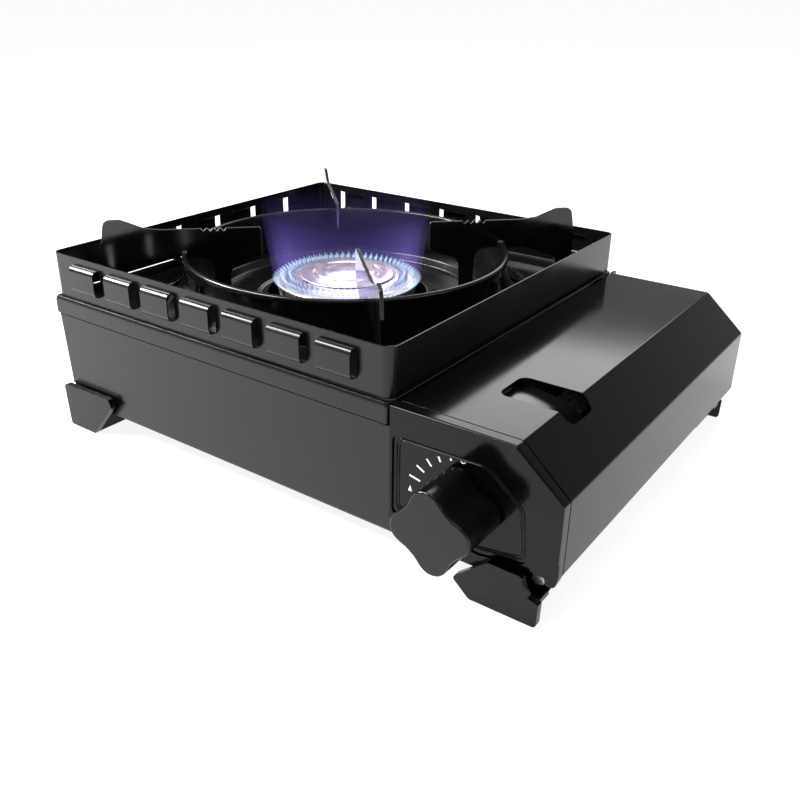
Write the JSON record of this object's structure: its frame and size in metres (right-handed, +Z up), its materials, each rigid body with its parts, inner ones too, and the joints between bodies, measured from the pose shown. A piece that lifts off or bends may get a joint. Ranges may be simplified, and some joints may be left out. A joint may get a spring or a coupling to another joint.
{
  "type": "camping stove",
  "caption": "Portable gas camping stove: square louvred wind shield round a ringed burner and pot trivet, with a lidded side bay for a gas cartridge and a front knob.",
  "frame": {"origin": "middle of the whole stove's box, on the surface that its feet stand on", "axes": "+X to the right, from the burner to the cartridge bay; +Y to the back, away from the knob; +Z up"},
  "size_m": [0.3452, 0.284, 0.129],
  "materials": {
    "body_enamel": "semi-gloss charcoal enamel on pressed steel",
    "lid_gloss": "gloss black enamel",
    "trivet_enamel": "gloss black vitreous enamel",
    "foot_plastic": "satin black moulded plastic",
    "knob_plastic": "satin charcoal moulded plastic",
    "guide_plastic": "gloss black moulded plastic",
    "igniter_plastic": "moulded plastic",
    "burner_steel": "pressed stainless steel, heat tinted",
    "burner_aluminium": "die cast",
    "inner_steel": "zinc plated sheet",
    "pin_steel": "plated wire and screws",
    "valve_brass": "turned",
    "pipe_copper": null,
    "cast_zinc": null,
    "panel_aluminium": "rolled strip",
    "seal_rubber": "moulded seal",
    "wire_rubber": "silicone sleeved lead",
    "electrode_ceramic": null,
    "magnet_ferrite": "nickel plated magnet"
  },
  "bodies": {
    "base": {"lower_case": "body_enamel", "top_plate": "body_enamel", "foot_front_left": "foot_plastic", "foot_front_right": "foot_plastic", "foot_rear_left": "foot_plastic", "foot_rear_right": "foot_plastic", "piezo_body": "igniter_plastic", "burner_port_ring": "burner_steel", "burner_cap": "burner_steel", "burner_body": "burner_aluminium", "bay_partition": "inner_steel", "burner_stay": "inner_steel", "jet_holder": "inner_steel", "air_shutter": "inner_steel", "electrode_bracket": "inner_steel", "cartridge_rail": "inner_steel", "hinge_pin_front": "pin_steel", "hinge_pin_rear": "pin_steel", "electrode_pin": "pin_steel", "corner_screw": "pin_steel", "foot_screw_front_left": "pin_steel", "foot_screw_front_right": "pin_steel", "foot_screw_rear_left": "pin_steel", "foot_screw_rear_right": "pin_steel", "jet_nozzle": "valve_brass", "gas_pipe": "pipe_copper", "regulator_body": "cast_zinc", "regulator_cover": "cast_zinc", "cartridge_socket": "cast_zinc", "heat_panel": "panel_aluminium", "socket_seal": "seal_rubber", "igniter_wire": "wire_rubber", "electrode_insulator": "electrode_ceramic", "magnet_left": "magnet_ferrite", "magnet_right": "magnet_ferrite"},
    "lift_unit": {"wind_shield": "body_enamel", "wind_ring": "body_enamel", "drip_tray": "body_enamel", "trivet_arm_front_left": "trivet_enamel", "trivet_arm_front_right": "trivet_enamel", "trivet_arm_rear_left": "trivet_enamel", "trivet_arm_rear_right": "trivet_enamel", "ring_bracket_front_left": "trivet_enamel", "ring_bracket_left": "trivet_enamel", "ring_bracket_right": "trivet_enamel", "ring_bracket_rear_right": "trivet_enamel"},
    "lid": {"cartridge_lid": "lid_gloss", "slot_guide": "guide_plastic"},
    "knob": {"knob": "knob_plastic", "valve_spindle": "valve_brass", "igniter_cam": "igniter_plastic"},
    "valve": {"valve_pin": "valve_brass"},
    "plunger": {"piezo_plunger": "igniter_plastic"}
  },
  "joints": [
    {"name": "unit_lift", "type": "slide", "parent": "base", "child": "lift_unit", "axis": [0, 0, 1], "range_m": [0, 0.12]},
    {"name": "lid_hinge", "type": "hinge", "parent": "base", "child": "lid", "pos_m": [0.0904, 0.013, 0.0795], "axis": [0, -1, 0], "range_deg": [0, 90]},
    {"name": "knob_turn", "type": "hinge", "parent": "base", "child": "knob", "pos_m": [0.1231, -0.11455, 0.0455], "axis": [0, 1, 0], "range_deg": [-15, 75]},
    {"name": "valve_slide", "type": "slide", "parent": "base", "child": "valve", "axis": [0, 1, 0], "range_m": [-0.0015, 0.0003]},
    {"name": "plunger_slide", "type": "slide", "parent": "base", "child": "plunger", "axis": [-1, 0, 0], "range_m": [0, 0.004], "stiffness_N_per_m": 400}
  ],
  "couplings": [
    {"joint": "valve_slide", "follows": "knob_turn", "m_per_rad": -0.00114}
  ]
}
